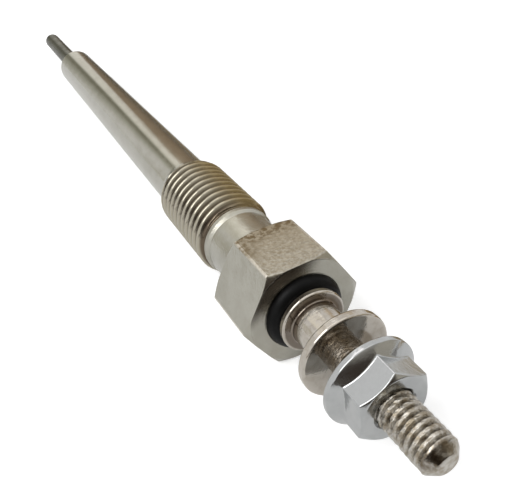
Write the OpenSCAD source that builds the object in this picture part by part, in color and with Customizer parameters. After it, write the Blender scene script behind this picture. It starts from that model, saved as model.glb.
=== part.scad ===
// Diesel glow plug, lying on its hexagon with the heater tip towards -X and the terminal towards +X.
// Each piece is drawn upright on the plug's own axis, tip down, with height 0 at the face of the
// hexagon that looks at the thread. lay_down() then puts the whole plug on the floor as it would rest.

/* [Heater sheath] */
// Outside diameter of the sheath
sheath_d = 3.3; // [3:0.05:3.6]
// Wall of the sheath
sheath_wall = 0.4; // [0.3:0.05:0.45]
// Length of sheath that stands out of the nose
sheath_reach = 24; // [22:0.5:35]
// Length of sheath that is pressed into the nose
sheath_grip = 16; // [10:0.5:25]
// Length of sheath that stands free inside the shell, behind the grip
sheath_tail = 4; // [3.5:0.5:8]
// Thickness of the closed end
tip_wall = 1; // [0.9:0.1:1.5]
// Rounding of the closed end
tip_round = 0.8; // [0.3:0.1:0.9]

/* [Heater element] */
// Diameter of the coil wire
wire_d = 0.3; // [0.2:0.02:0.36]
// Mean diameter of both coils
coil_d = 1.4; // [1.2:0.05:1.5]
// Bend between a coil and its lead
lead_bend = 0.35; // [0.3:0.05:0.45]
// Straight length of each lead
lead_length = 0.5; // [0.3:0.1:1]
// Turns of the heating coil
heating_turns = 9; // [6:1:12]
// Pitch of the heating coil
heating_pitch = 0.6; // [0.5:0.05:0.8]
// Turns of the control coil
control_turns = 12; // [8:1:14]
// Pitch of the control coil
control_pitch = 0.9; // [0.6:0.05:1]
// Parting of the packed powder at the weld between the coils
powder_parting = 0.02; // [0.01:0.01:0.1]
// Length of the rubber plug in the mouth of the sheath
seal_length = 3; // [2:0.5:3.5]

/* [Shell] */
// Diameter of the flat end of the nose
nose_face_d = 4.2; // [3.8:0.1:5]
// Angle across the sealing cone of the nose
nose_angle = 93; // [60:1:120]
// Diameter of the shank at the nose
shank_tip_d = 7; // [6.6:0.1:7.8]
// Diameter of the shank below the thread
shank_root_d = 7.8; // [7.2:0.1:8.4]
// Length of the shank
shank_length = 64; // [40:0.5:90]
// Length of the cone that leads into the thread
lead_in = 2.1; // [1:0.1:3]
// Diameter over the crests of the thread
thread_d = 10; // [9.6:0.1:10.4]
// Length of the thread
thread_length = 12.5; // [9:0.25:18]
// Diameter of the groove where the thread runs out
relief_d = 8.4; // [7.8:0.1:8.8]
// Width of that groove
relief_length = 1; // [0.8:0.1:2]
// Diameter of the ring behind the groove
ring_d = 9; // [8.9:0.1:9.6]
// Width of the ring
ring_length = 0.9; // [0.8:0.1:2]
// Slope at each side of the groove and the ring, along the plug
flank = 0.35; // [0.1:0.05:0.39]
// Diameter of the neck
neck_d = 8.5; // [7.8:0.1:8.9]
// Length of the neck
neck_length = 6.6; // [5:0.1:10]
// Hexagon across its flats
hex_flats = 12; // [11.8:0.1:13]
// Length of the hexagon
hex_length = 8; // [7.8:0.1:10]
// Diameter to which the corners of the hexagon are turned at both ends
hex_turned_d = 12.2; // [12:0.1:13.4]
// Diameter of the bore round the rod
bore_d = 4.8; // [4.4:0.1:5.2]

/* [Centre rod] */
// Diameter of the rod's front end, inside the sheath
lead_pin_d = 1.9; // [1.7:0.05:2.1]
// Diameter of the rod along the shank
rod_d = 3; // [2.6:0.1:3.4]
// Distance from the mouth of the sheath to the shoulder of the rod
shoulder_gap = 1.5; // [0.5:0.1:3]
// Length of full-size rod below the rubber ring
rod_land = 2; // [1:0.1:4]
// Diameter over the crests of the terminal thread
stud_d = 4; // [3.8:0.05:4.2]
// Length of stud beyond the nut
stud_reach = 6.5; // [4:0.1:10]
// Chamfer at the end of the stud
stud_chamfer = 0.9; // [0.3:0.05:1.2]

/* [Terminal insulator] */
// Diameter of the bush's flange
bush_flange_d = 8.8; // [8.4:0.1:9.4]
// Depth of the flange inside the hexagon
bush_sink = 1.2; // [0.8:0.1:1.6]
// Height of the flange above the hexagon
bush_proud = 1.1; // [1.1:0.1:1.6]
// Rounding of the flange's rim
bush_round = 1.1; // [0.4:0.1:1.1]
// Diameter of the bush's sleeve
bush_sleeve_d = 6.4; // [6:0.1:6.8]
// Length of the bush's sleeve
bush_sleeve_length = 4.2; // [2:0.1:4.3]
// Play of the bush in the shell and on the rod, on each side
bush_play = 0.05; // [0.02:0.01:0.1]
// Share by which the rubber ring is squeezed between the rod and the shell
o_ring_squeeze = 0.15; // [0.05:0.01:0.25]
// Room above and below the rubber ring
o_ring_room = 0.05; // [0.02:0.01:0.2]

/* [Terminal collar] */
// Diameter of the lower rim
collar_rim_d = 7.3; // [6.9:0.1:7.6]
// Thickness of the lower rim
collar_rim_length = 0.9; // [0.7:0.05:1.4]
// Diameter of the waist
collar_waist_d = 5.2; // [5:0.1:5.4]
// Length of the waist
collar_waist_length = 4.7; // [3:0.1:6]
// Rounding between the waist and both rims
collar_fillet = 0.2; // [0.1:0.05:0.5]
// Diameter of the contact flange
collar_flange_d = 9.6; // [8.6:0.1:10.4]
// Thickness of the contact flange
collar_flange_length = 1; // [0.8:0.05:1.6]
// Bevel on the edges of the collar
collar_bevel = 0.25; // [0.05:0.05:0.3]

/* [Terminal nut] */
// Distance from the collar to the nut
nut_gap = 3.3; // [0.5:0.1:5]
// Height of the nut
nut_height = 4; // [3.6:0.1:5]
// Nut across its flats
nut_flats = 7; // [6.8:0.1:7.4]
// Diameter of the nut's flange
nut_flange_d = 9.6; // [9:0.1:10.4]
// Thickness of the flange at its rim
nut_rim = 0.6; // [0.4:0.05:0.9]
// Height of the slope from the rim to the hexagon
nut_slope = 0.9; // [0.5:0.05:1.2]
// Diameter to which the corners of the nut are turned at its crown
nut_turned_d = 6.9; // [6.7:0.1:7.2]
// Width of the countersink at both ends of the nut's hole, from the stud
nut_countersink = 0.25; // [0.1:0.05:0.4]
// Pitch diameter, on which the plain stand-ins for the two threads meet inside the nut
engaged_d = 3.55; // [3.45:0.05:3.7]
// Turn of the nut from the hexagon of the shell
nut_turn = 27; // [0:1:59]

/* [Hidden] */
$fn = 96;
// Sides of the thin wire
wire_fn = 24;

// Colours of the finishes
nickel = [0.72, 0.70, 0.64];
dark_heat_steel = [0.45, 0.43, 0.38];
zinc = [0.76, 0.78, 0.81];
black_resin = [0.07, 0.07, 0.07];
black_rubber = [0.12, 0.12, 0.12];
powder_white = [0.90, 0.88, 0.84];
wire_grey = [0.55, 0.52, 0.50];

// Angle at which the turned corners of a hexagon leave its end face
corner_angle = 30;
// Slack by which a cut runs past a face that it opens
cut = 1;

// Heights along the plug, from the nose to the hexagon
thread_high = -neck_length - ring_length - relief_length;
thread_low = thread_high - thread_length;
shank_high = thread_low - lead_in;
shank_low = shank_high - shank_length;
nose_drop = (shank_tip_d - nose_face_d) / 2 / tan(nose_angle / 2);
nose = shank_low - nose_drop;
grip_high = nose + sheath_grip;
tip = nose - sheath_reach;
mouth = grip_high + sheath_tail;

// Heights inside the sheath
sheath_bore_d = sheath_d - 2 * sheath_wall;
sheath_floor = tip + tip_wall;
lead_rise = lead_bend + lead_length;
heating_low = sheath_floor + lead_rise;
weld = heating_low + heating_turns * heating_pitch + lead_rise;
control_low = weld + lead_rise;
lead_pin_low = control_low + control_turns * control_pitch + lead_rise;
seal_low = mouth - seal_length;

// Seat of the bush and the rubber ring in the hexagon
bush_bore_d = bush_sleeve_d + 2 * bush_play;
o_ring_space = (bush_bore_d - stud_d) / 2;
o_ring_section = o_ring_space / (1 - o_ring_squeeze);
gland_length = o_ring_section + 2 * o_ring_room;
flange_seat = hex_length - bush_sink;
sleeve_low = flange_seat - bush_sleeve_length;
gland_low = sleeve_low - gland_length;

// Heights at the terminal
bush_top = hex_length + bush_proud;
waist_low = bush_top + collar_rim_length;
waist_high = waist_low + collar_waist_length;
collar_top = waist_high + collar_flange_length;
nut_low = collar_top + nut_gap;
nut_high = nut_low + nut_height;
stud_end = nut_high + stud_reach;

// The plug rests on an edge of the hexagon and on the end of the shank, so its tip hangs a little lower
rest_tilt = atan((hex_flats - shank_tip_d) / 2 / -shank_low);
rest_height = hex_flats / 2 * cos(rest_tilt);
// Ends of the plug along X once it is tilted, which put the origin in the middle
low_end = (tip + tip_round) * cos(rest_tilt) - (sheath_d / 2 - tip_round) * sin(rest_tilt) - tip_round;
high_end = stud_end * cos(rest_tilt) + (stud_d / 2 - stud_chamfer) * sin(rest_tilt);

// Puts the upright plug on the floor, with a flat of the hexagon facing down
module lay_down() {
    translate([-(low_end + high_end) / 2, 0, rest_height])
        rotate([0, 90 - rest_tilt, 0])
            children();
}

// Cylinder between two heights
module rod_between(d, low, high) {
    translate([0, 0, low])
        cylinder(d = d, h = high - low);
}

// Ring between two heights
module tube_between(outer_d, inner_d, low, high) {
    difference() {
        rod_between(outer_d, low, high);
        rod_between(inner_d, low - cut, high + cut);
    }
}

// Hexagonal bar, a flat towards +X, with its corners turned to a shallow dome at both ends
module turned_hexagon(flats, turned_d, low, high) {
    dome_r = turned_d / 2 / sin(corner_angle);
    dome_depth = turned_d / 2 / tan(corner_angle);
    intersection() {
        translate([0, 0, low])
            rotate([0, 0, 30])
                cylinder(d = flats * 2 / sqrt(3), h = high - low, $fn = 6);
        translate([0, 0, high - dome_depth])
            sphere(r = dome_r);
        translate([0, 0, low + dome_depth])
            sphere(r = dome_r);
    }
}

// Half a turn of wire that climbs by half a pitch, from +X round +Y to -X. The half rings lean to and
// fro, so that each one starts in line with the end of the one before.
module half_turn(pitch) {
    ring_r = norm([coil_d / 2, pitch / 4]);
    translate([0, 0, pitch / 4])
        rotate([0, atan(pitch / 2 / coil_d), 0])
            rotate_extrude(angle = 180, $fn = wire_fn)
                translate([ring_r, 0])
                    circle(d = wire_d, $fn = wire_fn);
}

// Bend and straight lead that carry the start of a coil, at +X, down to the point where it is welded
module lead() {
    translate([coil_d / 2, 0, -lead_bend])
        rotate([180, 0, 0])
            rotate([0, 90, 0])
                rotate_extrude(angle = 90, $fn = wire_fn)
                    translate([lead_bend, 0])
                        circle(d = wire_d, $fn = wire_fn);
    translate([coil_d / 2, -lead_bend, -lead_bend - lead_length])
        cylinder(d = wire_d, h = lead_length, $fn = wire_fn);
}

// Coil of whole turns with a lead at each end
module coil(turns, pitch, low) {
    translate([0, 0, low]) {
        for (i = [0 : 2 * turns - 1])
            translate([0, 0, i * pitch / 2])
                rotate([0, 0, 180 * i])
                    half_turn(pitch);
        lead();
        translate([0, 0, turns * pitch])
            rotate([180, 0, 0])
                lead();
    }
}

module heating_coil_wire() {
    coil(heating_turns, heating_pitch, heating_low);
}

// Turned about the axis until its front lead meets the rear lead of the heating coil
module control_coil_wire() {
    rotate([0, 0, 2 * atan(2 * lead_bend / coil_d)])
        coil(control_turns, control_pitch, control_low);
}

// One turned piece: nose cone, tapered shank, thread, groove, ring, neck and hexagon, bored right through
module shell() {
    color(nickel)
        lay_down()
            difference() {
                union() {
                    rotate_extrude()
                        polygon([
                            [0, nose],
                            [nose_face_d / 2, nose],
                            [shank_tip_d / 2, shank_low],
                            [shank_root_d / 2, shank_high],
                            [thread_d / 2, thread_low],
                            [thread_d / 2, thread_high],
                            [relief_d / 2, thread_high + flank],
                            [relief_d / 2, thread_high + relief_length - flank],
                            [ring_d / 2, thread_high + relief_length],
                            [ring_d / 2, -neck_length - flank],
                            [neck_d / 2, -neck_length],
                            [neck_d / 2, hex_length / 2],
                            [0, hex_length / 2]
                        ]);
                    turned_hexagon(hex_flats, hex_turned_d, 0, hex_length);
                }
                rod_between(sheath_d, nose - cut, grip_high + cut);
                rod_between(bore_d, grip_high, gland_low + cut);
                rod_between(bush_bore_d, gland_low, flange_seat + cut);
                rod_between(bush_flange_d + 2 * bush_play, flange_seat, hex_length + cut);
            }
}

// Drawn tube with a closed, rounded end
module heater_sheath() {
    color(dark_heat_steel)
        lay_down()
            difference() {
                union() {
                    rod_between(sheath_d, tip + tip_round, mouth);
                    rod_between(sheath_d - 2 * tip_round, tip, tip + tip_round);
                    translate([0, 0, tip + tip_round])
                        rotate_extrude()
                            intersection() {
                                translate([sheath_d / 2 - tip_round, 0])
                                    circle(r = tip_round);
                                translate([0, -tip_round])
                                    square([sheath_d / 2, 2 * tip_round]);
                            }
                }
                rod_between(sheath_bore_d, sheath_floor, mouth + cut);
            }
}

module heating_coil() {
    color(wire_grey)
        lay_down()
            heating_coil_wire();
}

module control_coil() {
    color(wire_grey)
        lay_down()
            control_coil_wire();
}

// Powder packed round both coils and the front of the rod, in two fillings that part at the weld
module magnesia_fill() {
    color(powder_white)
        lay_down()
            union() {
                difference() {
                    rod_between(sheath_bore_d, sheath_floor, weld);
                    heating_coil_wire();
                }
                difference() {
                    rod_between(sheath_bore_d, weld + powder_parting, seal_low);
                    control_coil_wire();
                    rod_between(lead_pin_d, lead_pin_low, seal_low + cut);
                }
            }
}

module sheath_seal() {
    color(black_rubber)
        lay_down()
            tube_between(sheath_bore_d, lead_pin_d, seal_low, mouth);
}

// Rod from the control coil to the terminal, with its stud at the end
module centre_rod() {
    shoulder = mouth + shoulder_gap;
    land_low = gland_low - rod_land;
    engaged_step = (stud_d - engaged_d) / 2;
    color(nickel)
        lay_down()
            rotate_extrude()
                polygon([
                    [0, lead_pin_low],
                    [lead_pin_d / 2, lead_pin_low],
                    [lead_pin_d / 2, shoulder],
                    [rod_d / 2, shoulder],
                    [rod_d / 2, land_low - (stud_d - rod_d) / 2],
                    [stud_d / 2, land_low],
                    [stud_d / 2, nut_low - engaged_step],
                    [engaged_d / 2, nut_low],
                    [engaged_d / 2, nut_high],
                    [stud_d / 2, nut_high + engaged_step],
                    [stud_d / 2, stud_end - stud_chamfer],
                    [stud_d / 2 - stud_chamfer, stud_end],
                    [0, stud_end]
                ]);
}

// Round rubber ring, flattened where the rod and the shell squeeze it
module o_ring() {
    color(black_rubber)
        lay_down()
            translate([0, 0, gland_low + gland_length / 2])
                rotate_extrude()
                    intersection() {
                        translate([stud_d / 2 + o_ring_space / 2, 0])
                            circle(d = o_ring_section);
                        translate([stud_d / 2, -gland_length / 2])
                            square([o_ring_space, gland_length]);
                    }
}

// Flanged sleeve that keeps the terminal off the shell
module insulating_bush() {
    round_high = bush_top - bush_round;
    color(black_resin)
        lay_down()
            difference() {
                union() {
                    rod_between(bush_sleeve_d, sleeve_low, flange_seat + cut);
                    rod_between(bush_flange_d, flange_seat, round_high);
                    rod_between(bush_flange_d - 2 * bush_round, flange_seat, bush_top);
                    translate([0, 0, round_high])
                        rotate_extrude()
                            intersection() {
                                translate([bush_flange_d / 2 - bush_round, 0])
                                    circle(r = bush_round);
                                translate([0, -bush_round])
                                    square([bush_flange_d / 2, 2 * bush_round]);
                            }
                }
                rod_between(stud_d + 2 * bush_play, sleeve_low - cut, bush_top + cut);
            }
}

// Turned spool pressed on the rod: lower rim, waist and wide contact flange
module terminal_collar() {
    groove_d = collar_waist_d + 2 * collar_fillet;
    color(nickel)
        lay_down()
            difference() {
                union() {
                    rotate_extrude()
                        polygon([
                            [0, bush_top],
                            [collar_rim_d / 2 - collar_bevel, bush_top],
                            [collar_rim_d / 2, bush_top + collar_bevel],
                            [collar_rim_d / 2, waist_low - collar_bevel],
                            [collar_rim_d / 2 - collar_bevel, waist_low],
                            [groove_d / 2, waist_low],
                            [groove_d / 2, waist_high],
                            [collar_flange_d / 2 - collar_bevel, waist_high],
                            [collar_flange_d / 2, waist_high + collar_bevel],
                            [collar_flange_d / 2, collar_top - collar_bevel],
                            [collar_flange_d / 2 - collar_bevel, collar_top],
                            [0, collar_top]
                        ]);
                }
                rotate_extrude()
                    union() {
                        translate([collar_waist_d / 2, waist_low + collar_fillet])
                            square([cut, collar_waist_length - 2 * collar_fillet]);
                        for (height = [waist_low + collar_fillet, waist_high - collar_fillet])
                            translate([groove_d / 2, height])
                                circle(r = collar_fillet);
                    }
                rod_between(stud_d, bush_top - cut, collar_top + cut);
            }
}

// Hexagon nut with a flange that is domed from its rim to the hexagon, and a plain hole for its thread
module flange_nut() {
    dome_depth = (pow(nut_flange_d / 2, 2) - pow(nut_flats / 2, 2) - pow(nut_slope, 2)) / 2 / nut_slope;
    sink_d = stud_d + 2 * nut_countersink;
    sink_depth = (sink_d - engaged_d) / 2;
    color(zinc)
        lay_down()
            difference() {
                union() {
                    rotate_extrude()
                        intersection() {
                            translate([0, nut_low])
                                square([nut_flange_d / 2, nut_rim + nut_slope]);
                            translate([0, nut_low + nut_rim - dome_depth])
                                circle(r = norm([nut_flange_d / 2, dome_depth]));
                        }
                    rotate([0, 0, nut_turn])
                        turned_hexagon(nut_flats, nut_turned_d, nut_low, nut_high);
                }
                rod_between(engaged_d, nut_low - cut, nut_high + cut);
                translate([0, 0, nut_low])
                    cylinder(d1 = sink_d, d2 = engaged_d, h = sink_depth);
                translate([0, 0, nut_high - sink_depth])
                    cylinder(d1 = engaged_d, d2 = sink_d, h = sink_depth);
            }
}

shell();
heater_sheath();
heating_coil();
control_coil();
magnesia_fill();
sheath_seal();
centre_rod();
o_ring();
insulating_bush();
terminal_collar();
flange_nut();
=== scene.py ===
"""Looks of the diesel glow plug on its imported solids.

Every shown piece is a surface about the plug's own axis: a grid whose rows follow a profile and whose
columns go round. Sizes are in mm along that axis, with height 0 at the face of the hexagon that looks at
the thread, and lay_down() puts them into the row frame in metres.
"""

import math

import bpy
import numpy as np
from mathutils import Matrix, Vector


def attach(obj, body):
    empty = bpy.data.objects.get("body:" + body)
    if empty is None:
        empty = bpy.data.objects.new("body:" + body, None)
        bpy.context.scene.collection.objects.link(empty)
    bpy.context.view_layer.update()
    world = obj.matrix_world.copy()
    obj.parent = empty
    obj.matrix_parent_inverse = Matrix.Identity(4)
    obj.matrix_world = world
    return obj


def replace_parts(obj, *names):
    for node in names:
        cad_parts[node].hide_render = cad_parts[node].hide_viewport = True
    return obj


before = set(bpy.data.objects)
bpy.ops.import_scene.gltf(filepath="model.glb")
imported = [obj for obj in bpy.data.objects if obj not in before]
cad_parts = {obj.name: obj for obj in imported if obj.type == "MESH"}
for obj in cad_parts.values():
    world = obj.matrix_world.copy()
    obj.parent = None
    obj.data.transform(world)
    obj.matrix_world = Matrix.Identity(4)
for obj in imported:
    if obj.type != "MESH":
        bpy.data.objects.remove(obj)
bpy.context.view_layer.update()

# Heights along the axis, and sizes that more than one piece uses
NOSE, SHANK_END, THREAD_LOW, THREAD_HIGH = -88.4286, -87.1, -21.0, -8.5
SHEATH_TIP, SHEATH_SEAT = NOSE - 24.0, NOSE + 16.0
SHEATH_MOUTH = SHEATH_TIP + 44.0
RING_SEAT, BUSH_SEAT, HEX_LENGTH, BUSH_TOP = 1.0294, 6.8, 8.0, 9.1
NUT_LOW, NUT_HIGH, STUD_END = 19.0, 23.0, 29.5
HEX_FLATS, SHANK_TIP_R, SHEATH_R, STUD_R = 12.0, 3.5, 1.65, 2.0

# Where the plug lies: its axis climbs from the end of the shank to the hexagon
TILT = math.atan((HEX_FLATS / 2 - SHANK_TIP_R) / -SHANK_END)
AXIS_X = 41.44378406
AXIS_Z = HEX_FLATS / 2 * math.cos(TILT)

# Threads: radius of the crest, pitch, flat of the crest as a share of the pitch, depth, rounding as a share
# of the pitch, and the height of a crest at angle 0
BODY_THREAD = {"crest": 5.0, "pitch": 1.25, "land": 0.24, "depth": 0.70, "soft": 0.085, "start": -20.62}
STUD_THREAD = {"crest": STUD_R, "pitch": 0.7, "land": 0.46, "depth": 0.30, "soft": 0.065, "start": 23.45}

# Steps of the rows that show a thread
BODY_ROW, STUD_ROW = 0.065, 0.03


# Shapes

def lay_down(height, angle, radius):
    """Row-frame points in metres. Across is radius times cosine of the angle, up is radius times sine; height
    and up are then turned by the tilt in the X-Z plane and moved to the plug's place."""
    across, up = radius * np.cos(angle), radius * np.sin(angle)
    x = height * math.cos(TILT) - up * math.sin(TILT) + AXIS_X
    z = height * math.sin(TILT) + up * math.cos(TILT) + AXIS_Z
    return np.stack(np.broadcast_arrays(x, across, z), axis=-1) / 1000


def lesser(a, b, blend):
    """The lesser of two radii, with the edge between them rounded: half of their sum less the root of their
    difference squared plus the blend squared."""
    return (a + b - np.sqrt((a - b) ** 2 + blend ** 2)) / 2


def greater(a, b, blend):
    """The greater of two radii, with the hollow between them filled in the same way."""
    return (a + b + np.sqrt((a - b) ** 2 + blend ** 2)) / 2


def bow(radius, offset):
    """Height of a circle over its middle at an offset: the root of the radius squared less the offset
    squared, and 0 beyond the circle."""
    return np.sqrt(np.maximum(radius ** 2 - offset ** 2, 0))


def broken_edge(rounding, depth):
    """How far a rounded edge stands back at a depth below the face: the rounding less the height of its own
    circle there."""
    return rounding - bow(rounding, np.maximum(rounding - depth, 0))


def rounded_profile(corners, closed=False, steps=7, guard=0.03):
    """Heights and radii along a profile of corners (height, radius, rounding). At a corner, an exact arc
    touches both sides: a rational quadratic curve whose middle weight is the sine of half the corner's angle.
    A guard point follows on each side, so that the straight between two roundings is shaded flat."""
    table = np.array(corners, float)
    point, rounding = table[:, :2], table[:, 2]
    back, on = np.roll(point, 1, 0) - point, np.roll(point, -1, 0) - point
    if not closed:
        back[0], on[-1] = -on[0], -back[-1]
    back /= np.linalg.norm(back, axis=1)[:, None]
    on /= np.linalg.norm(on, axis=1)[:, None]
    half = np.arccos(np.clip((back * on).sum(1), -1, 1)) / 2
    reach = (rounding / np.tan(half))[:, None]
    u = np.linspace(0, 1, steps)[None, :, None]
    start, end = (point + back * reach)[:, None], (point + on * reach)[:, None]
    weight = np.sin(half)[:, None, None]
    arc = (1 - u) ** 2 * start + 2 * u * (1 - u) * weight * point[:, None] + u ** 2 * end
    arc /= (1 - u) ** 2 + 2 * u * (1 - u) * weight + u ** 2
    line = np.concatenate([start + back[:, None] * guard, arc, end + on[:, None] * guard], axis=1)
    if not closed:
        line[0], line[-1] = point[0], point[-1]
    line = line.reshape(-1, 2)
    step = np.linalg.norm(line - np.roll(line, 1, 0), axis=1)
    keep = step > 1e-6
    keep[0] = True
    return line[keep, 0], line[keep, 1]


def hexagon_columns(turn):
    """Angles round a hexagon that has a corner at the turn: close together across a corner, even between."""
    corner = np.radians([-1.2, -0.85, -0.5, -0.17, 0.17, 0.5, 0.85, 1.2])
    flat = np.radians(np.linspace(1.2, 58.8, 30)[1:-1])
    side = np.concatenate([corner, flat])
    return (turn + np.radians(60) * np.arange(6)[:, None] + side[None]).ravel()


def hexagon_radius(angle, turn, flats, rounding):
    """Radius of a hexagon with rounded corners. On a flat it is half the flats over the cosine of the angle
    from the flat's middle. Near a corner it is the far side of a circle of the rounding's radius that touches
    both flats."""
    from_middle = np.abs((angle - turn) % (math.pi / 3) - math.pi / 6)
    from_corner = math.pi / 6 - from_middle
    centre = (flats / 2 - rounding) / math.cos(math.pi / 6)
    rounded = centre * np.cos(from_corner) + bow(rounding, centre * np.sin(from_corner))
    on_corner = np.tan(from_middle) * flats / 2 > centre / 2
    return np.where(on_corner, rounded, flats / 2 / np.cos(from_middle))


def domed_radius(depth, turned_d):
    """Radius of the shallow dome that turns a hexagon's corners, at a depth below the end face: the section
    of a sphere that leaves the end face at 30 degrees, at the turned diameter."""
    centre = turned_d / 2 / math.tan(math.radians(30))
    return bow(turned_d, centre - depth)


def thread_radius(height, angle, thread):
    """Radius of a right-hand thread. The distance along the plug from the nearest crest, which climbs one
    pitch in a turn, sets the fall: none on the flat of the crest, then a 60 degree flank down to a rounded
    root."""
    pitch = thread["pitch"]
    along = height - thread["start"] - pitch * angle / (2 * math.pi)
    away = np.abs(along - pitch * np.round(along / pitch))
    flank = (away - pitch * thread["land"] / 2) * math.tan(math.radians(60))
    fall = greater(flank, 0, thread["soft"] * pitch)
    return thread["crest"] - lesser(fall, thread["depth"], 2 * thread["soft"] * pitch)


def wear(height, angle, seed):
    """Uneven wear between -1 and 1: a sum of waves along the plug and round it, whole numbers of them in a
    turn."""
    turns, ways = np.array([3, 5, 8, 13]) + seed, np.array([2.1, 4.7, 7.9, 13.3])
    waves = np.sin(turns[:, None, None] * angle + ways[:, None, None] * height + turns[:, None, None] ** 2)
    return np.tensordot([0.35, 0.28, 0.22, 0.15], waves, 1)


def skin(name, height, radius, angle, finish, ring=True):
    """Mesh of a grid of heights and radii. Each cell is one face, and the last column joins the first. In a
    ring the last row joins the first; otherwise each end row is closed by a fan to a point on the axis."""
    points = lay_down(*np.broadcast_arrays(height, angle, radius))
    rows, columns = points.shape[:2]
    cell = np.arange(rows * columns).reshape(rows, columns)
    loop = np.vstack([cell, cell[:1]]) if ring else cell
    here, on = loop[:-1], loop[1:]
    faces = np.stack([here, np.roll(here, -1, 1), np.roll(on, -1, 1), on], axis=-1).reshape(-1, 4).tolist()
    points = points.reshape(-1, 3)
    if not ring:
        first, last = cell[0], cell[-1]
        ends = lay_down(np.array([height[0].mean(), height[-1].mean()]), 0.0, 0.0)
        low, high = np.full(columns, len(points)), np.full(columns, len(points) + 1)
        points = np.vstack([points, ends])
        faces += np.stack([low, np.roll(first, -1), first], axis=-1).tolist()
        faces += np.stack([last, np.roll(last, -1), high], axis=-1).tolist()
    mesh = bpy.data.meshes.new(name)
    mesh.from_pydata(points, [], faces)
    mesh.shade_smooth()
    mesh.set_sharp_from_angle(angle=math.radians(40))
    mesh.materials.append(finish)
    piece = bpy.data.objects.new(name, mesh)
    bpy.context.scene.collection.objects.link(piece)
    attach(piece, "root")
    return piece


def column(values):
    """A profile's values as a grid one column wide."""
    return np.asarray(values, float)[:, None]


def turned(name, corners, finish, ring, columns=144):
    """Piece turned on a lathe: the rounded profile of its corners, the same all round."""
    angle = np.linspace(0, 2 * math.pi, columns, endpoint=False)
    height, radius = rounded_profile(corners, closed=ring)
    return skin(name, column(height), column(radius), angle, finish, ring)


def plug_shell(finish):
    """Shell. Outside, the turned profile runs from the nose to the neck, and the thread is cut into it
    wherever it lies lower. The hexagon follows, with its corners domed at both ends and its edges broken.
    Then the bores lead back to the nose."""
    turned_d, corner_r, edge, domed = 12.2, 0.25, 0.09, 0.8
    neck_r, mouth_r, guard, inset, face_rows = 4.25, 4.45, 0.05, 0.03, 9
    cut_low, cut_high, uncut = -23.3, -7.8, 99.0  # span of the thread's cut, and a radius beyond the shell's
    angle = hexagon_columns(0.0)
    line, width = rounded_profile([
        (NOSE, 2.1, 0.05), (SHANK_END, SHANK_TIP_R, 0.12), (-23.1, 3.9, 1.2),  # nose cone and shank
        (THREAD_LOW, 5.0, 0.3), (THREAD_HIGH, 5.0, 0.04),  # lead-in and thread
        (-8.15, 4.2, 0.12), (-7.85, 4.2, 0.12), (-7.5, 4.5, 0.10), (-6.95, 4.5, 0.10),  # run-out and ring
        (-6.6, neck_r, 0.3), (0.0, neck_r, 0.0)])  # neck
    along = np.union1d(line, np.arange(-23.2, -7.9, BODY_ROW))
    body, grid = np.interp(along, line, width)[:, None], along[:, None]
    cut = thread_radius(grid, angle, BODY_THREAD) + 0.012 * wear(grid, angle, 0)
    body = lesser(body, np.where((grid > cut_low) & (grid < cut_high), cut, uncut), 0.02)

    bend = np.linspace(0, math.pi / 2, 6)
    near = np.concatenate([edge * (1 - np.cos(bend)), np.linspace(edge, domed, 26)[1:]])
    middle = np.linspace(domed, HEX_LENGTH - domed, 8)[1:-1]
    side = np.concatenate([near, middle, HEX_LENGTH - near[::-1]])
    depth = np.minimum(side, HEX_LENGTH - side)[:, None]
    hexagon = hexagon_radius(angle, 0.0, HEX_FLATS, corner_r)
    wall = lesser(hexagon, domed_radius(depth, turned_d), 0.03) - broken_edge(edge, depth)
    share = np.linspace(0, 1, face_rows)[:, None]
    low_face = neck_r + guard + (wall[:1] - inset - neck_r - guard) * share
    high_face = wall[-1:] - inset + (mouth_r + guard - wall[-1:] + inset) * share

    bore_line, bore = rounded_profile([
        (HEX_LENGTH, mouth_r, 0.0), (BUSH_SEAT, mouth_r, 0.0),  # flange of the bush
        (BUSH_SEAT, 3.25, 0.0), (RING_SEAT, 3.25, 0.0),  # sleeve of the bush and rubber ring
        (RING_SEAT, 2.4, 0.0), (SHEATH_SEAT, 2.4, 0.0),  # rod
        (SHEATH_SEAT, SHEATH_R, 0.0), (NOSE, SHEATH_R, 0.0)])  # sheath
    height = np.concatenate([along, np.zeros(face_rows), side, np.full(face_rows, HEX_LENGTH), bore_line])
    radius = np.vstack([body, low_face, wall, high_face, bore[:, None] * np.ones_like(angle)])
    return skin("shell_plated", column(height), radius, angle, finish)


def plug_rod(finish):
    """Rod and stud. The turned profile runs from the pin inside the sheath to the chamfered end of the stud.
    The thread fades in above the collar, and its crests are worn unevenly."""
    angle = np.linspace(0, 2 * math.pi, 120, endpoint=False)
    line, width = rounded_profile([
        (NOSE - 3.4, 0.95, 0.0), (SHEATH_MOUTH + 1.49, 0.95, 0.0),  # pin in the sheath
        (SHEATH_MOUTH + 1.51, 1.5, 0.0), (RING_SEAT - 2.5, 1.5, 0.0),  # rod in the shell
        (RING_SEAT - 2.0, STUD_R, 0.1), (STUD_END - 0.9, STUD_R, 0.30),  # stud
        (STUD_END, 1.1, 0.25), (STUD_END + 0.0005, 0.05, 0.0)])  # chamfer and end
    along = np.union1d(line, np.arange(16.2, STUD_END, STUD_ROW))
    plain, grid = np.interp(along, line, width)[:, None], along[:, None]
    fade = np.clip((grid - 16.3) / 0.9, 0, 1)
    cut = STUD_R + (thread_radius(grid, angle, STUD_THREAD) - STUD_R) * fade ** 2 * (3 - 2 * fade)
    worn = 0.080 * np.maximum(wear(grid, angle, 1), 0) + 0.045 * np.maximum(wear(2.3 * grid, angle, 4), -0.4)
    body = np.minimum(lesser(plain, cut - worn * fade, 0.015), plain)
    return skin("centre_rod_threaded", grid, body, angle, finish, ring=False)


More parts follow.
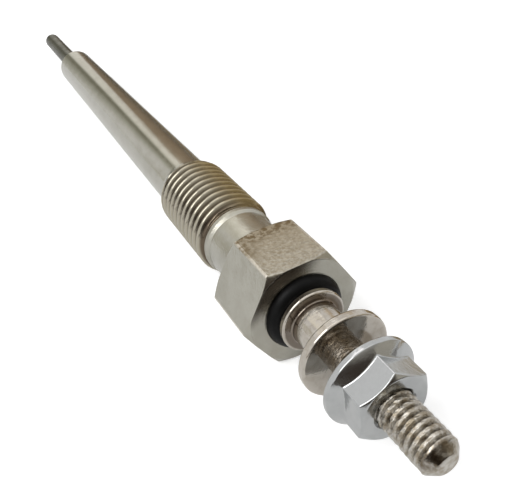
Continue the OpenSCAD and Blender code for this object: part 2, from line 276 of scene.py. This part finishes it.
def plug_nut(finish):
    """Flange nut. The outside is the greater of the hexagon, domed at its crown, and the flange's dome. The
    hole is the stud's own thread a little wider, opened by a countersink at both ends."""
    flats, turned_d, corner_r, crown_edge = 7.0, 6.9, 0.12, 0.06
    rim_r, rim, foot_edge, dome_top_r, dome_rise = 4.8, 0.6, 0.12, 3.5, 0.9
    sink_r, inset, face_rows, play = 2.25, 0.02, 7, 0.04
    turn = math.radians(27)
    angle = hexagon_columns(turn)
    bend = np.linspace(0, math.pi / 2, 6)
    side = np.concatenate([
        NUT_LOW + foot_edge * (1 - np.cos(bend)), np.linspace(NUT_LOW + 0.16, NUT_LOW + rim - 0.06, 4),
        np.arange(NUT_LOW + rim - 0.03, 21.0, 0.03), np.linspace(21.0, 22.4, 8),
        np.linspace(22.45, NUT_HIGH - 0.07, 16), NUT_HIGH - crown_edge * (1 - np.cos(bend[::-1]))])[:, None]
    dome_depth = (rim_r ** 2 - dome_top_r ** 2 - dome_rise ** 2) / (2 * dome_rise)
    dome = bow(np.hypot(rim_r, dome_depth), np.maximum(side - NUT_LOW - rim + dome_depth, 0))
    flange = lesser(dome, rim_r, 0.05) - broken_edge(foot_edge, side - NUT_LOW)
    hexagon = hexagon_radius(angle, turn, flats, corner_r)
    hexagon = lesser(hexagon, domed_radius(NUT_HIGH - side, turned_d), 0.04)
    hexagon = hexagon - broken_edge(crown_edge, NUT_HIGH - side)
    outside = np.where(side < NUT_LOW + 0.3, flange, greater(hexagon, flange, 0.10))
    outside = np.minimum(outside, rim_r)

    share = np.linspace(0, 1, face_rows)[:, None]
    top_face = outside[-1:] - inset + (sink_r + inset - outside[-1:]) * share
    foot_face = sink_r + inset + (outside[:1] - sink_r - 2 * inset) * share
    hole = np.linspace(NUT_HIGH, NUT_LOW, 120)[:, None]
    opened = sink_r - np.minimum(NUT_HIGH - hole, hole - NUT_LOW)
    bored = greater(thread_radius(hole, angle, STUD_THREAD) + play, opened, 0.03)
    height = np.concatenate([
        np.full(face_rows, NUT_LOW), side[:, 0], np.full(face_rows, NUT_HIGH), hole[:, 0]])
    radius = np.vstack([foot_face, outside, top_face, bored])
    return skin("flange_nut_plated", column(height), radius, angle, finish)


# Finishes

def finish(name, **sockets):
    """Material with its even values set on the shader's own sockets."""
    made = bpy.data.materials.new(name)
    made.use_nodes = True
    shader = made.node_tree.nodes["Principled BSDF"]
    for socket, value in sockets.items():
        shader.inputs[socket.replace("_", " ")].default_value = value
    return made, made.node_tree, shader


def add(tree, kind, settings=None, **inputs):
    """New node with its settings, and its inputs set or linked."""
    node = tree.nodes.new("ShaderNode" + kind)
    for key, value in (settings or {}).items():
        setattr(node, key, value)
    for key, value in inputs.items():
        put(tree, node, key.replace("_", " "), value)
    return node


def put(tree, node, socket, value):
    """Sets one input, or links it where the value is another node's output."""
    if isinstance(value, bpy.types.NodeSocket):
        tree.links.new(value, node.inputs[socket])
    else:
        node.inputs[socket].default_value = value


def put_all(tree, node, values):
    """Sets or links the first inputs of a node in their order."""
    for index, value in enumerate(values):
        put(tree, node, index, value)


def plug_space(tree):
    """Object coordinates turned to the plug: x in mm along its axis from the hexagon's thread side, y and z
    about the axis."""
    cos, sin = math.cos(TILT), math.sin(TILT)
    place = add(tree, "TexCoord").outputs["Object"]
    return add(tree, "Mapping", Vector=place, Scale=(1000, 1000, 1000), Rotation=(0, TILT, 0),
               Location=(-AXIS_X * cos - AXIS_Z * sin, 0, AXIS_X * sin - AXIS_Z * cos)).outputs["Vector"]


def stretched(tree, vector, scale):
    """Coordinates stretched by a factor on each axis."""
    return add(tree, "Mapping", Vector=vector, Scale=scale).outputs["Vector"]


def speckle(tree, vector, scale, detail=3.0, roughness=0.55):
    """Noise between 0 and 1 about one half."""
    return add(tree, "TexNoise", Vector=vector, Scale=scale, Detail=detail, Roughness=roughness).outputs[0]


def ramp(tree, value, low, high, to_low=0.0, to_high=1.0):
    """A value's range carried over to another one along a smooth step, and held at its ends."""
    node = add(tree, "MapRange", {"interpolation_type": "SMOOTHSTEP"})
    put_all(tree, node, (value, low, high, to_low, to_high))
    return node.outputs[0]


def sums(tree, operation, *values):
    """One operation of the Math node."""
    node = add(tree, "Math", {"operation": operation})
    put_all(tree, node, values)
    return node.outputs[0]


def times(tree, first, *others):
    """Product of two or more values."""
    for other in others:
        first = sums(tree, "MULTIPLY", first, other)
    return first


def with_shares(tree, value, *parts):
    """A value plus the product of each part and its share."""
    for part, share in parts:
        value = sums(tree, "ADD", value, times(tree, part, share))
    return value


def within(tree, value, middle, reach):
    """1 where a value lies no further than the reach from a middle, 0 elsewhere."""
    return sums(tree, "COMPARE", value, middle, reach)


def tint(tree, share, a, b):
    """Colour between two, by the share of the second."""
    node = add(tree, "Mix", {"data_type": "RGBA"})
    for socket, value in ((0, share), (6, a), (7, b)):
        put(tree, node, socket, value)
    return node.outputs[2]


def coated(tree, colour, *coats):
    """A colour under coats, each with its share and its own colour."""
    for share, coat in coats:
        colour = tint(tree, share, colour, coat)
    return colour


def from_axis(tree, vector):
    """Distances along the plug, across it to the far side and upwards, and the distance from its axis."""
    along, across, over = add(tree, "SeparateXYZ", Vector=vector).outputs
    away = add(tree, "VectorMath", {"operation": "LENGTH"}, Vector=stretched(tree, vector, (0, 1, 1)))
    return along, across, over, away.outputs["Value"]


def to_corner(tree, across, over):
    """Distance from the axis towards the hexagon's corner at 120 degrees."""
    return sums(tree, "ADD", times(tree, across, -0.5), times(tree, over, 0.87))


def dress(tree, shader, colour, roughness):
    """Links a colour and a roughness to the shader."""
    tree.links.new(colour, shader.inputs["Base Color"])
    tree.links.new(roughness, shader.inputs["Roughness"])


def relief(tree, shader, height, strength, distance):
    """Bump on the shader's normal."""
    bump = add(tree, "Bump", Height=height, Strength=strength, Distance=distance)
    tree.links.new(bump.outputs["Normal"], shader.inputs["Normal"])


def satin_nickel():
    """Plated shell: fine turning lines round the shank and rings on the end of the hexagon, an orange peel
    under the plating of the flats and the neck, and worn corners that are lightened as a painted highlight
    too.
    The upper flat has a brown bloom. One part of the end face is darkened as a painted dark reflection, with
    some grime; one side of the thread is browned as a painted dark reflection, and its grooves hold dust that
    is darkened as painted shade too."""
    plate, dull_plate = (0.415, 0.402, 0.352, 1), (0.372, 0.358, 0.308, 1)
    upper_plate, warm_plate = (0.480, 0.458, 0.398, 1), (0.430, 0.388, 0.296, 1)
    # The lighter plate on the corners is wear, and also a painted highlight along the hexagon's edges.
    rubbed_and_highlit_plate, brown = (0.620, 0.590, 0.530, 1), (0.190, 0.148, 0.088, 1)
    olive, black, umber = (0.265, 0.198, 0.090, 1), (0.045, 0.036, 0.028, 1), (0.085, 0.058, 0.036, 1)
    made, tree, shader = finish("satin_nickel", Metallic=1.0)
    place = plug_space(tree)
    along, across, over, away = from_axis(tree, place)
    cloud = speckle(tree, place, 0.45, 4.0, 0.6)
    grain = speckle(tree, place, 5.0, 4.0, 0.65)
    peel = speckle(tree, place, 1.8, 4.0, 0.6)
    lines = speckle(tree, stretched(tree, place, (14, 0.22, 0.22)), 1.0)
    rings = speckle(tree, add(tree, "CombineXYZ", X=times(tree, away, 4.0)).outputs[0], 1.0)

    # Where on the shell: 1 inside, 0 outside
    on_hexagon = within(tree, along, 4.0, 3.97)
    on_flats = times(tree, on_hexagon, sums(tree, "GREATER_THAN", away, 5.6))
    on_top = times(tree, on_hexagon, ramp(tree, over, 5.75, 5.9))
    on_corner = times(tree, on_hexagon, ramp(tree, away, 6.81, 6.87))
    on_end = times(tree, sums(tree, "GREATER_THAN", along, 7.95), sums(tree, "GREATER_THAN", away, 4.4))
    on_neck = within(tree, along, -3.95, 3.92)
    on_ring = within(tree, along, -7.2, 0.65)
    on_thread = within(tree, along, -14.7, 7.0)
    groove = times(tree, ramp(tree, away, 4.52, 4.88, 1.0, 0.0), on_thread)

    flecks = times(tree, ramp(tree, speckle(tree, place, 2.6, 6.0, 0.75), 0.38, 0.66), 0.50)
    far_edge = times(tree, ramp(tree, along, 3.6, 0.6), ramp(tree, peel, 0.40, 0.58, 0.10, 1.0))
    near_edge = times(tree, ramp(tree, across, -1.0, -3.0), ramp(tree, along, 7.0, 2.0),
                      ramp(tree, peel, 0.36, 0.60, 0.30, 0.95))
    edges = sums(tree, "MAXIMUM", far_edge, near_edge)
    bloom = times(tree, sums(tree, "MAXIMUM", flecks, edges), on_top)
    # One side of the thread is browned as a painted dark reflection of the surroundings.
    painted_dark_reflection = times(tree, ramp(tree, across, -1.8, 2.2), within(tree, along, -15.2, 7.4),
                 ramp(tree, over, -2.5, 0.5, 0.15, 1.0), ramp(tree, across, 4.9, 3.3, 0.30, 1.0))
    # The end face is darkened towards the upper corner: a painted dark reflection, with some grime.
    grime_and_dark_reflection = times(tree, ramp(tree, to_corner(tree, across, over), 3.1, 5.3), on_end, 0.88)
    # Dust in the thread's grooves, also darkened there as painted shade.
    dust_and_shade = times(tree, groove, sums(tree, "SUBTRACT", 0.85, times(tree, painted_dark_reflection, 0.60)))
    colour = coated(tree, tint(tree, ramp(tree, cloud, 0.35, 0.68), plate, dull_plate), (on_top, upper_plate),
                    (times(tree, on_thread, 0.60), warm_plate), (on_corner, rubbed_and_highlit_plate), (bloom, brown),
                    (times(tree, painted_dark_reflection, 0.90), olive), (grime_and_dark_reflection, black), (dust_and_shade, umber))
    rough = with_shares(tree, ramp(tree, grain, 0.3, 0.7, 0.13, 0.20), (groove, 0.03), (on_corner, 0.30),
                        (on_ring, 0.14), (on_end, 0.06))
    dress(tree, shader, colour, rough)

    plain = sums(tree, "SUBTRACT", 1.0, sums(tree, "ADD", on_flats, on_end))
    height = with_shares(tree, times(tree, grain, 0.15), (lines, times(tree, plain, 0.30)),
                         (rings, times(tree, on_end, 1.8)), (peel, times(tree, on_flats, 1.1)),
                         (peel, times(tree, on_neck, 1.5)), (grain, times(tree, on_neck, 1.2)))
    relief(tree, shader, height, 1.0, 0.00002)
    return made


def bright_nickel():
    """Polished collar: faint turning lines, a little tarnish, one side of the waist browned as a painted dark
    reflection, and the corner behind the rim browned as painted shade."""
    plate, tarnished = (0.50, 0.465, 0.415, 1), (0.42, 0.38, 0.325, 1)
    brown, umber = (0.190, 0.145, 0.092, 1), (0.090, 0.062, 0.040, 1)
    made, tree, shader = finish("bright_nickel", Metallic=1.0)
    place = plug_space(tree)
    along, across, _, away = from_axis(tree, place)
    lines = speckle(tree, stretched(tree, place, (16, 0.3, 0.3)), 1.0)
    cloud = speckle(tree, place, 1.1, 4.0, 0.6)
    # One side of the waist is browned as a painted dark reflection.
    painted_side_reflection = times(tree, ramp(tree, across, 0.6, 2.2), ramp(tree, away, 3.2, 2.9), 0.65)
    # The corner behind the rim is browned as painted shade.
    painted_dark_reflection = times(tree, within(tree, along, 10.12, 0.30), ramp(tree, away, 3.50, 3.30), 0.66)
    colour = coated(tree, tint(tree, ramp(tree, cloud, 0.4, 0.7), plate, tarnished), (painted_side_reflection, brown),
                    (painted_dark_reflection, umber))
    dress(tree, shader, colour, ramp(tree, cloud, 0.3, 0.7, 0.06, 0.11))
    relief(tree, shader, with_shares(tree, cloud, (lines, 0.4)), 0.6, 0.00002)
    return made


def worn_nickel():
    """Rod and stud: rough plating that sparkles on the crests, brown dust in the roots of the thread,
    darkened there as painted shade too, most of it on the upper side; the upper left of the stud's end is
    darker brown, and the stud below the nut is darkened as painted shade."""
    plate, tarnished = (0.50, 0.475, 0.430, 1), (0.28, 0.240, 0.180, 1)
    brown, umber = (0.060, 0.045, 0.028, 1), (0.085, 0.060, 0.036, 1)
    made, tree, shader = finish("worn_nickel", Metallic=1.0)
    place = plug_space(tree)
    along, across, over, away = from_axis(tree, place)
    grain = speckle(tree, place, 2.4, 5.0, 0.65)
    cloud = speckle(tree, place, 1.3, 4.0, 0.6)
    # Dust in the roots of the thread, also darkened there as painted shade; more on the upper side.
    dust_and_shade = times(tree, ramp(tree, away, 1.68, 1.88, 1.0, 0.0), within(tree, along, 22.5, 6.15),
                 ramp(tree, over, 0.0, 1.4, 0.45, 0.92))
    # The upper left of the stud's end is darker brown.
    upper_left_side = ramp(tree, to_corner(tree, across, over), 0.5, 1.2)
    end_darkening = times(tree, ramp(tree, along, 28.3, 28.6), upper_left_side,
                      ramp(tree, cloud, 0.36, 0.56, 0.35, 0.70))
    # The stud below the nut, between it and the collar, is darkened as painted shade.
    stud_darkening = sums(tree, "MAXIMUM", end_darkening, ramp(tree, along, 19.3, 18.5, 0.0, 0.62))
    colour = coated(tree, tint(tree, ramp(tree, cloud, 0.38, 0.66), plate, tarnished), (dust_and_shade, brown),
                    (stud_darkening, umber))
    dress(tree, shader, colour, ramp(tree, grain, 0.3, 0.7, 0.05, 0.14))
    relief(tree, shader, times(tree, grain, ramp(tree, along, 28.6, 28.2, 0.25, 1.0)), 1.0, 0.00013)
    return made


def zinc_plate():
    """Nut: cool, even plating with a faint orange peel."""
    plate, dull_plate = (0.450, 0.458, 0.456, 1), (0.410, 0.418, 0.418, 1)
    made, tree, shader = finish("zinc_plate", Metallic=1.0)
    place = plug_space(tree)
    cloud = speckle(tree, place, 0.9, 4.0, 0.6)
    peel = speckle(tree, place, 2.4, 3.0, 0.5)
    dress(tree, shader, tint(tree, ramp(tree, cloud, 0.35, 0.7), plate, dull_plate),
          ramp(tree, cloud, 0.3, 0.7, 0.12, 0.19))
    relief(tree, shader, peel, 0.5, 0.00002)
    return made


def heat_steel():
    """Heater sheath: dull olive grey, drawn lines along it and a darker tip."""
    olive, dark_olive, scorched = (0.088, 0.085, 0.060, 1), (0.058, 0.056, 0.038, 1), (0.052, 0.049, 0.037, 1)
    made, tree, shader = finish("heat_steel", Metallic=1.0)
    place = plug_space(tree)
    along = add(tree, "SeparateXYZ", Vector=place).outputs["X"]
    drawn = speckle(tree, stretched(tree, place, (0.3, 5, 5)), 1.0, 4.0)
    cloud = speckle(tree, place, 0.5, 4.0, 0.65)
    colour = coated(tree, tint(tree, ramp(tree, cloud, 0.35, 0.7), olive, dark_olive),
                    (ramp(tree, along, -109.0, -112.4), scorched))
    dress(tree, shader, colour, ramp(tree, cloud, 0.3, 0.7, 0.30, 0.42))
    relief(tree, shader, drawn, 0.4, 0.00003)
    return made


def dark_mould(name, colour, worn, roughness, bump):
    """Black resin or rubber: fine mould grain, with paler rubbed patches."""
    made, tree, shader = finish(name, Specular_IOR_Level=0.10)
    place = plug_space(tree)
    grain = speckle(tree, place, 9.0, 4.0, 0.6)
    cloud = speckle(tree, place, 0.8, 4.0, 0.6)
    dress(tree, shader, tint(tree, ramp(tree, cloud, 0.4, 0.75), colour, worn),
          ramp(tree, grain, 0.3, 0.7, roughness - 0.06, roughness + 0.06))
    relief(tree, shader, grain, bump, 0.00003)
    return made


def coil_wire():
    """Drawn resistance wire with a brown oxide bloom."""
    bare, oxide = (0.42, 0.39, 0.36, 1), (0.30, 0.24, 0.19, 1)
    made, tree, shader = finish("coil_wire", Metallic=1.0)
    place = plug_space(tree)
    bloom = speckle(tree, place, 2.2, 4.0, 0.6)
    grain = speckle(tree, place, 30.0, 3.0, 0.6)
    dress(tree, shader, tint(tree, ramp(tree, bloom, 0.4, 0.7), bare, oxide),
          ramp(tree, grain, 0.3, 0.7, 0.28, 0.42))
    relief(tree, shader, grain, 0.3, 0.00001)
    return made


def packed_powder():
    """Magnesia: off-white powder with fine grains."""
    pale, shaded = (0.80, 0.78, 0.73, 1), (0.66, 0.63, 0.57, 1)
    made, tree, shader = finish("packed_powder", Roughness=0.9)
    grain = speckle(tree, plug_space(tree), 25.0, 4.0, 0.7)
    tree.links.new(tint(tree, ramp(tree, grain, 0.35, 0.7), pale, shaded), shader.inputs["Base Color"])
    relief(tree, shader, grain, 0.6, 0.00003)
    return made


# Pieces

black_resin = dark_mould("black_resin", (0.003, 0.003, 0.003, 1), (0.006, 0.006, 0.006, 1), 0.36, 0.25)
black_rubber = dark_mould("black_rubber", (0.016, 0.016, 0.016, 1), (0.034, 0.034, 0.034, 1), 0.62, 0.5)
wire = coil_wire()

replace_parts(plug_shell(satin_nickel()), "shell")
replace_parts(plug_rod(worn_nickel()), "centre_rod")
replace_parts(plug_nut(zinc_plate()), "flange_nut")
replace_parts(turned("heater_sheath_drawn", [
    (SHEATH_TIP, 0.02, 0.0), (SHEATH_TIP, SHEATH_R, 0.8),  # tip
    (SHEATH_MOUTH, SHEATH_R, 0.05), (SHEATH_MOUTH, 1.25, 0.05),  # mouth
    (SHEATH_TIP + 1.0, 1.25, 0.0), (SHEATH_TIP + 1.0, 0.02, 0.0)],  # floor
    heat_steel(), ring=False), "heater_sheath")
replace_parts(turned("insulating_bush_moulded", [
    (2.6, 2.05, 0.0), (2.6, 3.2, 0.1), (BUSH_SEAT, 3.2, 0.0),  # sleeve
    (BUSH_SEAT, 4.4, 0.1), (BUSH_TOP, 4.4, 1.1), (BUSH_TOP, 2.05, 0.0)],  # flange
    black_resin, ring=True), "insulating_bush")
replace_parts(turned("terminal_collar_turned", [
    (BUSH_TOP, STUD_R, 0.0), (BUSH_TOP, 3.65, 0.25), (10.0, 3.65, 0.25),  # rim
    (10.0, 2.6, 0.2), (14.7, 2.6, 0.2),  # waist
    (14.7, 4.8, 0.25), (15.7, 4.8, 0.25), (15.7, STUD_R, 0.0)],  # flange
    bright_nickel(), ring=True), "terminal_collar")

hidden_finishes = {"heating_coil": wire, "control_coil": wire, "magnesia_fill": packed_powder(),
                   "sheath_seal": black_rubber, "o_ring": black_rubber}
for node, hidden_finish in hidden_finishes.items():
    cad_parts[node].material_slots[0].material = hidden_finish


# Stage, in metres

FAR = -0.45         # boards that stand behind the tip
NEAR = 0.55         # board that stands behind the camera
OVERHEAD = 0.80     # boards above the plug
ON_FLOOR = 0.0005   # cloths


def seen_rays(tree):
    """1 for rays from the camera, a mirror or a clear body, 0 for the rest."""
    path = add(tree, "LightPath").outputs
    seen = sums(tree, "MAXIMUM", path["Is Camera Ray"], path["Is Glossy Ray"])
    return sums(tree, "MAXIMUM", seen, path["Is Transmission Ray"])


def card(name, corners, shader_of):
    """Flat panel of the stage."""
    mesh = bpy.data.meshes.new(name)
    mesh.from_pydata(corners, [], [tuple(range(len(corners)))])
    made = bpy.data.materials.new(name)
    made.use_nodes = True
    tree = made.node_tree
    tree.nodes.clear()
    out = add(tree, "OutputMaterial")
    tree.links.new(shader_of(tree), out.inputs["Surface"])
    mesh.materials.append(made)
    panel = bpy.data.objects.new(name, mesh)
    bpy.context.scene.collection.objects.link(panel)
    return panel


def pale_floor(tree):
    """White floor that keeps the shadow: matt white, with some white of its own for the camera and less for
    mirrors."""
    path = add(tree, "LightPath").outputs
    matt = add(tree, "BsdfDiffuse", Color=(0.80, 0.80, 0.80, 1)).outputs[0]
    own = with_shares(tree, times(tree, path["Is Camera Ray"], 0.55), (path["Is Glossy Ray"], 0.18))
    glow = add(tree, "Emission", Color=(1, 1, 1, 1), Strength=own).outputs[0]
    both = add(tree, "AddShader")
    put_all(tree, both, (matt, glow))
    return both.outputs[0]


def even_tone(*colour):
    """The same tone all over a board."""
    return lambda tree: add(tree, "Emission", Color=(*colour, 1), Strength=1.0).outputs[0]


def fading_tone(axis, span, stops, strength=1.0):
    """Tone that changes along one axis of a board: stops are (share of the span, red, green, blue), and the
    first two are those at the ends of the span."""
    def shader_of(tree):
        place = add(tree, "SeparateXYZ", Vector=add(tree, "TexCoord").outputs["Object"]).outputs[axis]
        share = add(tree, "MapRange")
        put_all(tree, share, (place, *span))
        band = add(tree, "ValToRGB", Fac=share.outputs[0])
        for number, (at, *colour) in enumerate(stops):
            stop = band.color_ramp.elements[number] if number < 2 else band.color_ramp.elements.new(at)
            stop.position, stop.color = at, (*colour, 1)
        return add(tree, "Emission", Color=band.outputs["Color"], Strength=strength).outputs[0]
    return shader_of


def upright(x, *corners):
    """Corners of a board that stands square to the X axis, from their places (y, z)."""
    return [(x, y, z) for y, z in corners]


def level(z, *corners):
    """Corners of a board that lies level, from their places (x, y)."""
    return [(x, y, z) for x, y in corners]


def board(name, corners, tone):
    """Board that only mirrors on the metal: no camera, shadow or diffuse ray meets it."""
    panel = card(name, corners, tone)
    panel.visible_camera = False
    panel.visible_diffuse = False
    panel.visible_shadow = False


def lamp(name, place, target, width, height, power):
    """Softbox that faces a point."""
    data = bpy.data.lights.new(name, "AREA")
    data.shape, data.size, data.size_y, data.energy = "RECTANGLE", width, height, power
    box = bpy.data.objects.new(name, data)
    box.location = place
    box.rotation_mode = "QUATERNION"
    box.rotation_quaternion = (Vector(target) - Vector(place)).to_track_quat("-Z", "Y")
    box.visible_camera = False
    bpy.context.scene.collection.objects.link(box)


WALL_BANDS = [
    (0.0, 1.0, 1.0, 0.97), (1.0, 1.25, 1.22, 1.14), (0.10, 0.80, 0.80, 0.72), (0.28, 0.50, 0.49, 0.41),
    (0.38, 0.30, 0.29, 0.22), (0.47, 0.30, 0.29, 0.22), (0.53, 0.70, 0.70, 0.62), (0.57, 1.20, 1.18, 1.10)]

card("floor", level(0, (-3, -3), (3, -3), (3, 3), (-3, 3)), pale_floor)
board("studio_wall", upright(FAR, (-0.17, 0.0), (0.13, 0.0), (0.13, 0.21), (-0.17, 0.21)),
      fading_tone("Y", (-0.17, 0.13), WALL_BANDS, strength=0.87))
board("upper_wall", upright(FAR, (-0.17, 0.21), (0.13, 0.21), (0.13, 0.30), (-0.17, 0.30)),
      fading_tone("Y", (-0.205, 0.095), WALL_BANDS))
board("bright_window", upright(FAR, (-0.12, 0.30), (0.13, 0.30), (0.18, 0.56), (-0.42, 0.56), (-0.36, 0.37)),
      fading_tone("Y", (-0.42, 0.18), [
          (0.0, 1.15, 1.12, 1.03), (1.0, 1.80, 1.80, 1.72), (0.52, 1.32, 1.28, 1.18),
          (0.70, 1.45, 1.42, 1.33), (0.80, 1.75, 1.74, 1.66)]))
board("grey_wall", upright(FAR, (-0.60, 0.002), (-0.275, 0.002), (-0.275, 0.25), (-0.60, 0.25)),
      even_tone(0.72, 0.70, 0.61))
board("brown_board", upright(FAR + 0.001, (0.115, 0.002), (0.55, 0.002), (0.55, 0.43), (0.20, 0.43),
                             (0.050, 0.240), (0.100, 0.18), (0.108, 0.11)),
      fading_tone("Z", (0.0, 0.43), [
          (0.0, 0.16, 0.13, 0.09), (1.0, 0.92, 0.85, 0.72), (0.12, 0.30, 0.235, 0.17),
          (0.37, 0.42, 0.32, 0.22), (0.50, 0.48, 0.38, 0.29), (0.66, 0.64, 0.54, 0.42),
          (0.80, 0.72, 0.61, 0.47), (0.89, 0.78, 0.68, 0.54)]))
# Brown cloth beside the plug, seen only in mirrors; its dark edge next to the plug is a painted shadow of the
# plug on the floor.
board("brown_cloth_and_painted_shadow", level(ON_FLOOR, (-0.06, 0.013), (0.045, 0.013), (0.10, 0.07), (-0.06, 0.07)),
      fading_tone("Y", (0.013, 0.07), [
          (0.0, 0.20, 0.16, 0.11), (1.0, 0.62, 0.50, 0.32), (0.5, 0.42, 0.33, 0.21)]))
# Dark cloth beside the shank and thread, seen only in mirrors; it also stands in for the plug's shadow on the
# floor, a painted shadow.
board("umber_cloth_and_painted_shadow", level(ON_FLOOR, (-0.45, 0.013), (-0.06, 0.013), (-0.06, 0.07), (-0.10, 0.16),
                           (-0.45, 0.16)),
      even_tone(0.11, 0.090, 0.060))
board("grey_side", [(0.55, 0.25, 0.002), (0.10, 0.56, 0.002), (0.10, 0.56, 0.20), (0.55, 0.25, 0.25)],
      even_tone(0.58, 0.54, 0.46))
board("dark_room", upright(NEAR, (-0.45, 0.002), (0.25, 0.002), (0.55, 0.25), (0.55, 0.55), (-0.45, 0.55)),
      fading_tone("Z", (0.0, 0.55), [
          (0.0, 0.070, 0.055, 0.045), (1.0, 0.62, 0.60, 0.56), (0.29, 0.070, 0.055, 0.045),
          (0.42, 0.26, 0.24, 0.21), (0.62, 0.50, 0.48, 0.44)]))
board("light_above", level(OVERHEAD, (-0.15, -0.12), (0.35, -0.12), (0.35, 0.45), (-0.15, 0.45)),
      even_tone(1.40, 1.38, 1.33))
board("light_behind", level(OVERHEAD, (-0.50, -0.30), (-0.25, -0.30), (-0.25, 0.15), (-0.50, 0.15)),
      even_tone(2.30, 2.22, 2.22))
board("dark_cloth", level(ON_FLOOR, (0.10, -0.25), (0.55, -0.45), (0.55, 0.25), (0.10, 0.10)),
      even_tone(0.10, 0.085, 0.070))
lamp("key_softbox", place=(0.05, -0.45, 0.60), target=(0, 0, 0.006), width=0.50, height=0.50, power=3.0)

# White room, brighter where it is seen than where it lights
world = bpy.data.worlds.new("studio")
world.use_nodes = True
bpy.context.scene.world = world
room = world.node_tree
background = room.nodes["Background"]
background.inputs["Color"].default_value = (1, 1, 1, 1)
room.links.new(ramp(room, seen_rays(room), 0.0, 1.0, 0.55, 1.0), background.inputs["Strength"])

# Camera of the photograph
eye = Vector((90.185, -21.598, 50.895)) / 1000
forward = Vector((-0.72423, 0.31016, -0.61587)).normalized()
up = Vector((-0.50694, 0.36596, 0.78044))
right = forward.cross(up).normalized()
up = right.cross(forward)
lens = bpy.data.cameras.new("camera")
lens.lens, lens.sensor_width, lens.clip_start, lens.clip_end = 42.903, 36.0, 0.001, 20.0
camera = bpy.data.objects.new("camera", lens)
camera.matrix_world = Matrix.Translation(eye) @ Matrix((right, up, -forward)).transposed().to_4x4()
bpy.context.scene.collection.objects.link(camera)
bpy.context.scene.camera = camera
bpy.context.scene.view_settings.view_transform = "Standard"
